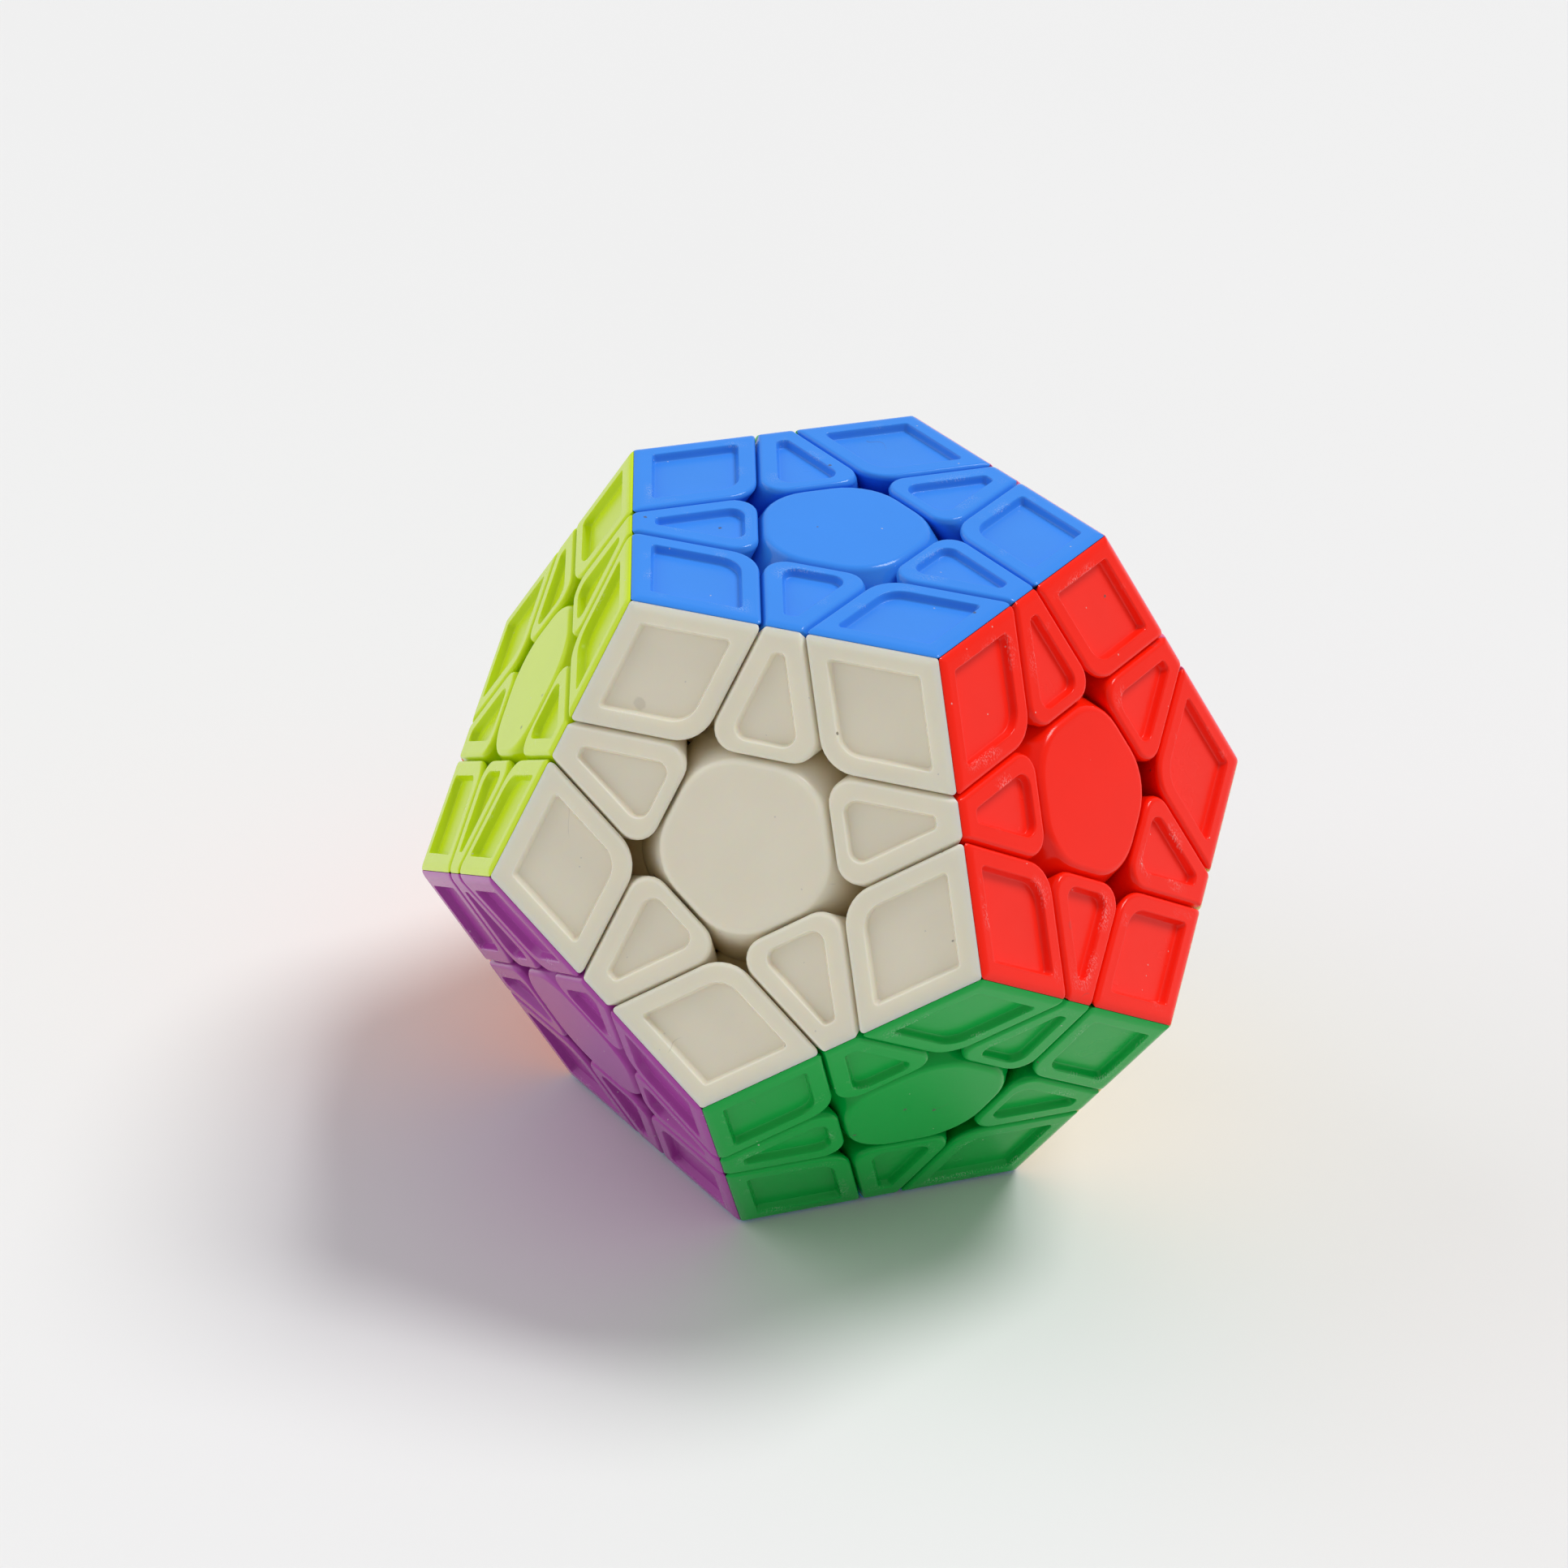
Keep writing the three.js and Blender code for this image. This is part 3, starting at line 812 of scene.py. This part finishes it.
class Material(Value):
    """A new material, with the patterns that its finishes share."""

    def __init__(self, name):
        self.material = bpy.data.materials.new(name)
        self.material.use_nodes = True
        super().__init__(self.material.node_tree)
        self.surface = self.tree.nodes["Principled BSDF"]
        self.place = self.add("ShaderNodeTexCoord", {}, {}, out="Object")

    def stretched(self, scale, turn=(0, 0, 0)):
        """The place on the piece, turned and stretched."""
        return self.add("ShaderNodeMapping", {}, {"Vector": self.place, "Scale": scale, "Rotation": turn})

    def noise(self, size, detail=2.0, rough=0.5, place=None):
        """Soft noise from 0 to 1, whose features are about this many millimetres."""
        place, scale = place or self.place, 1 / (size * MM)
        sockets = {"Vector": place, "Scale": scale, "Detail": detail, "Roughness": rough}
        return self.add("ShaderNodeTexNoise", {}, sockets)

    def mark(self, name):
        """A number kept on the mesh."""
        return self.add("ShaderNodeAttribute", {"attribute_name": name}, {}, out="Fac")

    def mix(self, factor, first, second):
        """Two colours mixed."""
        colours = [value if isinstance(value, Value) else (*value, 1) for value in (first, second)]
        sockets = {"Factor": factor, MIX_FIRST: colours[0], MIX_SECOND: colours[1]}
        return self.add("ShaderNodeMix", {"data_type": "RGBA"}, sockets, out=MIX_RESULT)

    def scaled(self, shade, factor):
        """A colour made brighter or darker."""
        return self.add("ShaderNodeVectorMath", {"operation": "SCALE"}, {0: shade, "Scale": factor})

    def spots(self, cell, size, keep):
        """Round spots of a size in millimetres, in the share of the cells that is kept."""
        near = self.add("ShaderNodeTexVoronoi", {}, {"Vector": self.place, "Scale": 1 / (cell * MM)})
        chance = Value(self.tree, near.socket.node.outputs["Color"])
        pick = self.add("ShaderNodeSeparateColor", {}, {"Color": chance})
        ragged = near * (cell / size) + (self.noise(size, 1) - 0.5) * 0.8
        return ((1 - ragged) * 4).clamped() * (pick > 1 - keep)

    def hairs(self, length_mm, width, keep, turn):
        """Thin curved lines, where a stretched noise passes its middle value, in a share of the surface."""
        across = self.stretched((1, 0.28, 0.6), turn)
        wave = self.noise(length_mm, 1.5, 0.4, across)
        line = (1 - (wave - 0.5).absolute() / width).clamped()
        patch = ((self.noise(length_mm * 0.8, 1) - (1 - keep)) * 30).clamped()
        return line * patch

    def set(self, sockets):
        """Fills sockets of the surface with values or links."""
        self.fill(self.surface, sockets)

    def bump(self, height, micrometres):
        """A bump from a height, whose full range is this many micrometres."""
        sockets = {"Strength": 1.0, "Distance": micrometres * MICROMETRE, "Height": height}
        return self.add("ShaderNodeBump", {}, sockets)


def plastic(name, shade, colours, finish):
    """Moulded plastic in one colour.

    The colour drifts a little. Down in the gaps it is painted darker and richer: painted shade, which
    stands in for shade and for light that has passed through more plastic. The sunk panels are mixed
    a little towards pale grey as a painted sheen, their slopes are scuffed pale in places, and there are
    dust specks, lint, short hairs and smudges. The height is fine unevenness plus specks.
    """
    m = Material(name)
    drift = m.noise(9, 3) * 0.10 + 0.95
    brightest = max(shade)
    # painted shade: down in the gaps the colour is mixed towards a darker, richer copy of itself, and tone
    # carries it
    shaded_colour = tuple(part * (part / brightest) ** 3 for part in shade)
    tone = m.mix(m.mark("deep") * finish.gap_shade_strength, tuple(shade), shaded_colour)
    base = m.scaled(tone, drift)
    sunk = m.mark("sunk")
    # painted sheen: the sunk panels are mixed a little towards pale grey, in cloudy patches
    cloudy = m.noise(2.2, 3, 0.6)
    film = sunk * (cloudy * 0.5 + 0.75) * finish.film
    base = m.mix(film, base, tuple(colours.film))
    worn = m.mark("worn")
    patch = ((m.noise(5.5, 2) - 0.56) * 9).clamped()
    grain = ((m.noise(0.16, 2, 0.7, m.stretched((1, 1, 0.35))) - 0.5) * 9).clamped()
    scuff = worn * patch * grain
    base = m.mix(scuff * finish.scuffs, base, (0.85, 0.85, 0.84))
    speck = m.spots(2.3, 0.22, 0.07)
    mote = m.spots(1.2, 0.10, 0.11)
    smear = m.spots(6, 0.7, 0.12) * 0.16
    hair = m.hairs(7, 0.0035, 0.30, (0.4, 0.9, 0.2))
    dirt = (speck * 0.75 + smear + hair * 0.25).clamped()
    base = m.mix(dirt, base, tuple(colours.dust))
    base = m.mix(mote * 0.6, base, tuple(colours.lint))
    cloud = m.noise(14, 4, 0.6)
    gloss = sunk * (finish.panel_roughness - finish.roughness) + finish.roughness
    gloss = gloss + (cloud - 0.5) * finish.smudges + scuff * 0.2 + dirt * 0.3
    fine = m.noise(0.45, 3, 0.55)
    wave = m.noise(3.2, 1)
    height = fine * 0.5 + wave * 1.2 + speck * 6 + mote * 4 + hair * 3 - scuff * 2
    m.set(
        {
            "Base Color": base,
            "Roughness": gloss.clamped(),
            "Normal": m.bump(height, finish.peel),
            "IOR": 1.5,
            "Specular IOR Level": finish.specular,
        }
    )
    if min(shade) > PALE:
        m.set(
            {
                "Subsurface Weight": finish.passing,
                "Subsurface Scale": finish.passing_reach,
                "Subsurface Radius": (1.0, 0.75, 0.45),
            }
        )
    return m.material


def steel(colours):
    """Zinc-plated steel: fine turning lines, a mottled sheen and a few dark spots."""
    m = Material("plated_steel")
    mottle = m.noise(0.8, 3)
    lines = m.noise(0.35, 2, 0.5, m.stretched((0.1, 0.1, 3)))
    spot = m.spots(1.6, 0.09, 0.3)
    base = m.mix(mottle * 0.35, tuple(colours.steel), (0.38, 0.37, 0.34))
    base = m.mix(spot * 0.6, base, (0.12, 0.11, 0.1))
    m.set(
        {
            "Base Color": base,
            "Metallic": 1.0,
            "Roughness": mottle * 0.16 + lines * 0.12 + 0.2,
            "Normal": m.bump(lines + mottle * 0.5, 3),
        }
    )
    return m.material


LOOKS = {}  # the materials made so far


def look(name):
    """The material of a face's plastic, of the core or of the steel, made when it is first asked for."""
    if name not in LOOKS:
        colours, finish = bpy.context.scene.puzzle_colours, bpy.context.scene.puzzle_finish
        if name == "steel":
            LOOKS[name] = steel(colours)
        else:
            LOOKS[name] = plastic(f"moulded_{name}", getattr(colours, name), colours, finish)
    return LOOKS[name]


# ---------------------------------------------------------------- operators


class PUZZLE_OT_corner_tiles(bpy.types.Operator):
    """Three coloured tiles for each of the twenty corner pieces"""

    bl_idname = "puzzle.corner_tiles"
    bl_label = "Corner tiles"

    def execute(self, context):
        sizes = context.scene.puzzle_sizes
        tile, panel = corner_tile(sizes), corner_panel(sizes)
        sphere = foot_radius(sizes) - 0.5
        pole = (math.sin(CORNER_TILT) * POLE_DRAW, 0, math.cos(CORNER_TILT))
        for names in CORNERS:
            middle = sum((FACES[n] for n in names), Vector()).normalized()
            for own in names:
                turn = basis(FACES[own], middle)
                made = tile_piece(f"corner_{'_'.join(names)}_{own}_tile", tile, sphere, pole, turn, panel)
                finish_piece(made, [look(own)], names)
        return {"FINISHED"}


class PUZZLE_OT_edge_tiles(bpy.types.Operator):
    """Two coloured tiles for each of the thirty edge pieces"""

    bl_idname = "puzzle.edge_tiles"
    bl_label = "Edge tiles"

    def execute(self, context):
        sizes = context.scene.puzzle_sizes
        tile, panel = edge_tile(sizes), edge_panel(sizes)
        sphere = foot_radius(sizes) + sizes.gap / MM / 2
        pole = (math.sin(EDGE_TILT) * POLE_DRAW, 0, math.cos(EDGE_TILT))
        for names in EDGES:
            for own, other in (names, names[::-1]):
                turn = basis(FACES[own], FACES[other])
                made = tile_piece(f"edge_{'_'.join(names)}_{own}_tile", tile, sphere, pole, turn, panel)
                finish_piece(made, [look(own)], names)
        return {"FINISHED"}


class PUZZLE_OT_centre_caps(bpy.types.Operator):
    """The cap of each centre piece, hollow over the screw"""

    bl_idname = "puzzle.centre_caps"
    bl_label = "Centre caps"

    def execute(self, context):
        sizes = context.scene.puzzle_sizes
        clearance = sizes.tile_gap / 2 + sizes.cap_inset
        tile = Tile(
            sizes, [0, 72, 144, 216, 288], ["beside"] * 5, [sizes.cap_round] * 5, sizes.cap_fillet, clearance
        )
        sphere = foot_radius(sizes) + sizes.gap / MM / 2
        rim, depth, radii = tile.rim()
        wall = tile.wall(depth, radii, sphere)
        azimuth = np.arctan2(rim[0, :, 1], rim[0, :, 0])
        cavity = sizes.cavity / MM + 0.1
        mouth = circle_row(cavity, math.sqrt(sphere**2 - cavity**2), azimuth)
        roof = IN_RADIUS - sizes.cap_wall / MM
        under = (wall[-1] * 0.5 + mouth * 0.5)[None]
        under = under * sphere / np.linalg.norm(under, axis=2, keepdims=True)
        inner = [mouth, circle_row(cavity, roof, azimuth), circle_row(cavity * 0.5, roof, azimuth)]
        middle = np.array([0, 0, IN_RADIUS])
        rows = np.concatenate([rings_within(rim[0], middle), rim, wall, under, inner])
        for name, axis in FACES.items():
            turn = basis(axis, neighbour(name))
            made = skin(f"centre_{name}_cap", rows, middle, np.array([0, 0, roof]), turn)
            finish_piece(made, [look(name)], [name])
        return {"FINISHED"}


class PUZZLE_OT_centre_feet(bpy.types.Operator):
    """The foot of each centre piece, with its cavity and the bore for its screw"""

    bl_idname = "puzzle.centre_feet"
    bl_label = "Centre feet"

    def execute(self, context):
        sizes = context.scene.puzzle_sizes
        around = [(NEIGHBOUR, TAU / 5 * k) for k in range(5)]
        outer, azimuth = foot_rows(sizes, [], around, CENTRE_NECK)
        end = sizes.foot_end / MM
        floor = end + sizes.cavity_floor / MM
        cavity, bore = sizes.cavity / MM, sizes.bore / MM
        high = outer[0, :, 2].min()
        inner = np.array(
            [
                circle_row(bore, end, azimuth),
                circle_row(bore, floor, azimuth),
                circle_row(cavity - 0.3, floor, azimuth),
                circle_row(cavity, floor + 0.3, azimuth),
                circle_row(cavity, high, azimuth),
            ]
        )
        rows = np.concatenate([outer, inner])
        for name, axis in FACES.items():
            points = rows.reshape(-1, 3) @ np.array(basis(axis, neighbour(name))).T
            made = put(f"centre_{name}_foot", points, bands(len(rows), len(azimuth), closed=True))
            finish_piece(made, [look(name)], [name])
        return {"FINISHED"}


class PUZZLE_OT_corner_feet(bpy.types.Operator):
    """The foot of each corner piece"""

    bl_idname = "puzzle.corner_feet"
    bl_label = "Corner feet"

    def execute(self, context):
        sizes = context.scene.puzzle_sizes
        inside = [(CORNER_TILT, TAU / 3 * k) for k in range(3)]
        for names in CORNERS:
            foot_piece(names, sizes, inside, [], CORNER_NECK)
        return {"FINISHED"}


class PUZZLE_OT_edge_feet(bpy.types.Operator):
    """The foot of each edge piece"""

    bl_idname = "puzzle.edge_feet"
    bl_label = "Edge feet"

    def execute(self, context):
        sizes = context.scene.puzzle_sizes
        inside = [(EDGE_TILT, 0), (EDGE_TILT, math.pi)]
        outside = [(END_TILT, math.pi / 2), (END_TILT, -math.pi / 2)]
        for names in EDGES:
            foot_piece(names, sizes, inside, outside, EDGE_NECK)
        return {"FINISHED"}


class PUZZLE_OT_core(bpy.types.Operator):
    """The ball core with its twelve bosses"""

    bl_idname = "puzzle.core"
    bl_label = "Core"

    def execute(self, context):
        sizes = context.scene.puzzle_sizes
        rows, pole = core_rows(sizes)
        made = skin("ball_core", rows, pole, -pole, Matrix.Identity(3))
        finish_piece(made, [look("core")], ["sky"])
        return {"FINISHED"}


class PUZZLE_OT_fasteners(bpy.types.Operator):
    """A screw, a washer and a spring for each centre"""

    bl_idname = "puzzle.fasteners"
    bl_label = "Screws, washers and springs"

    def execute(self, context):
        sizes = context.scene.puzzle_sizes
        under, thick = head_from(sizes) - 0.02, sizes.washer / MM
        hole, rim = sizes.screw / MM + 0.12, sizes.head / MM + 0.05
        azimuth = np.linspace(0, TAU, 40, endpoint=False)
        low = under - thick
        lower = [(hole, low), (rim - 0.1, low), (rim, low + 0.1)]
        corners = lower + [(rim, under - 0.1), (rim - 0.1, under), (hole, under)]
        washer = np.array([circle_row(radius, height, azimuth) for radius, height in corners])
        for name, axis in FACES.items():
            turn = basis(axis, neighbour(name))
            points = washer.reshape(-1, 3) @ np.array(turn).T
            faces = [face[::-1] for face in bands(len(corners), len(azimuth), closed=True)]
            made = [
                screw_piece(f"screw_{name}", sizes, turn),
                spring_piece(f"spring_{name}", sizes, turn),
                put(f"washer_{name}", points, faces),
            ]
            for piece in made:
                finish_piece(piece, [look("steel")], ["sky"])
        return {"FINISHED"}


class PUZZLE_OT_stage(bpy.types.Operator):
    """The floor, the lights and the camera"""

    bl_idname = "puzzle.stage"
    bl_label = "Stage"

    def execute(self, context):
        scene, stage = context.scene, context.scene.puzzle_stage
        half = FLOOR_HALF / MM
        low = CAD_BOX[0].z / MM
        corners = np.array([(-half, -half, low), (half, -half, low), (half, half, low), (-half, half, low)])
        floor = put("floor", corners, [(0, 1, 2, 3)])
        paper = Material("floor_paper")
        tone = paper.noise(120, 2) * 0.02 + 0.99
        shade = paper.scaled(tuple(stage.floor), tone)
        paper.set({"Base Color": shade, "Roughness": 0.75, "Specular IOR Level": 0.25})
        floor.data.materials.append(paper.material)

        world = bpy.data.worlds.new("studio")
        world.use_nodes = True
        light = world.node_tree.nodes["Background"].inputs
        light["Color"].default_value, light["Strength"].default_value = (1, 1, 1, 1), stage.sky_light
        scene.world = world

        toward = looking(math.degrees(stage.azimuth), math.degrees(stage.elevation))
        right = Vector((0, 0, 1)).cross(toward).normalized()
        up = toward.cross(right)

        behind = Vector((-toward.x, -toward.y, 0)).normalized()
        above = Vector((0, 0, 1))
        lamps = (
            ("key", right * 0.55 + behind * 0.32 + above, stage.key_light, stage.key_size),
            ("fill", behind * 0.25 - right * 1.1 + above * 0.5, stage.fill_light, stage.fill_size),
        )
        for name, source, strength, size in lamps:
            lamp = bpy.data.lights.new(name, "SUN")
            lamp.energy, lamp.angle = strength, size
            placed = bpy.data.objects.new(name, lamp)
            placed.rotation_euler = source.to_track_quat("Z", "Y").to_euler()
            scene.collection.objects.link(placed)

        target = (right * stage.shift_right + up * stage.shift_up) * MM
        roll = stage.roll
        tilted_right = right * math.cos(roll) + up * math.sin(roll)
        tilted_up = up * math.cos(roll) - right * math.sin(roll)
        lens = bpy.data.cameras.new("camera")
        lens.lens = stage.lens
        lens.sensor_width = 36
        lens.clip_start = 0.01
        camera = bpy.data.objects.new("camera", lens)
        turn = Matrix((tilted_right, tilted_up, toward)).transposed().to_4x4()
        camera.matrix_world = Matrix.Translation(target + toward * stage.distance) @ turn
        scene.collection.objects.link(camera)
        scene.camera = camera
        scene.view_settings.view_transform = "Standard"
        return {"FINISHED"}


OPERATORS = (
    PUZZLE_OT_stage,
    PUZZLE_OT_corner_tiles,
    PUZZLE_OT_edge_tiles,
    PUZZLE_OT_centre_caps,
    PUZZLE_OT_centre_feet,
    PUZZLE_OT_corner_feet,
    PUZZLE_OT_edge_feet,
    PUZZLE_OT_core,
    PUZZLE_OT_fasteners,
)


class PUZZLE_PT_panel(bpy.types.Panel):
    """Lists the puzzle's pieces"""

    bl_idname = "PUZZLE_PT_panel"
    bl_label = "Turning puzzle"
    bl_space_type = "VIEW_3D"
    bl_region_type = "UI"
    bl_category = "Puzzle"

    def draw(self, context):
        for operator in OPERATORS:
            self.layout.operator(operator.bl_idname)
        for group in GROUPS:
            settings = getattr(context.scene, group)
            for name in settings.bl_rna.properties.keys():
                if name not in ("rna_type", "name"):
                    self.layout.prop(settings, name)


GROUPS = {
    "puzzle_sizes": PuzzleSizes,
    "puzzle_colours": PuzzleColours,
    "puzzle_finish": PuzzleFinish,
    "puzzle_stage": PuzzleStage,
}
CLASSES = (*GROUPS.values(), *OPERATORS, PUZZLE_PT_panel)


def register():
    for cls in CLASSES:
        bpy.utils.register_class(cls)
    for name, cls in GROUPS.items():
        setattr(bpy.types.Scene, name, PointerProperty(type=cls))


def unregister():
    for name in GROUPS:
        delattr(bpy.types.Scene, name)
    for cls in reversed(CLASSES):
        bpy.utils.unregister_class(cls)


def main():
    register()
    for operator in OPERATORS:
        group, name = operator.bl_idname.split(".")
        getattr(getattr(bpy.ops, group), name)()


if __name__ == "__main__":
    main()
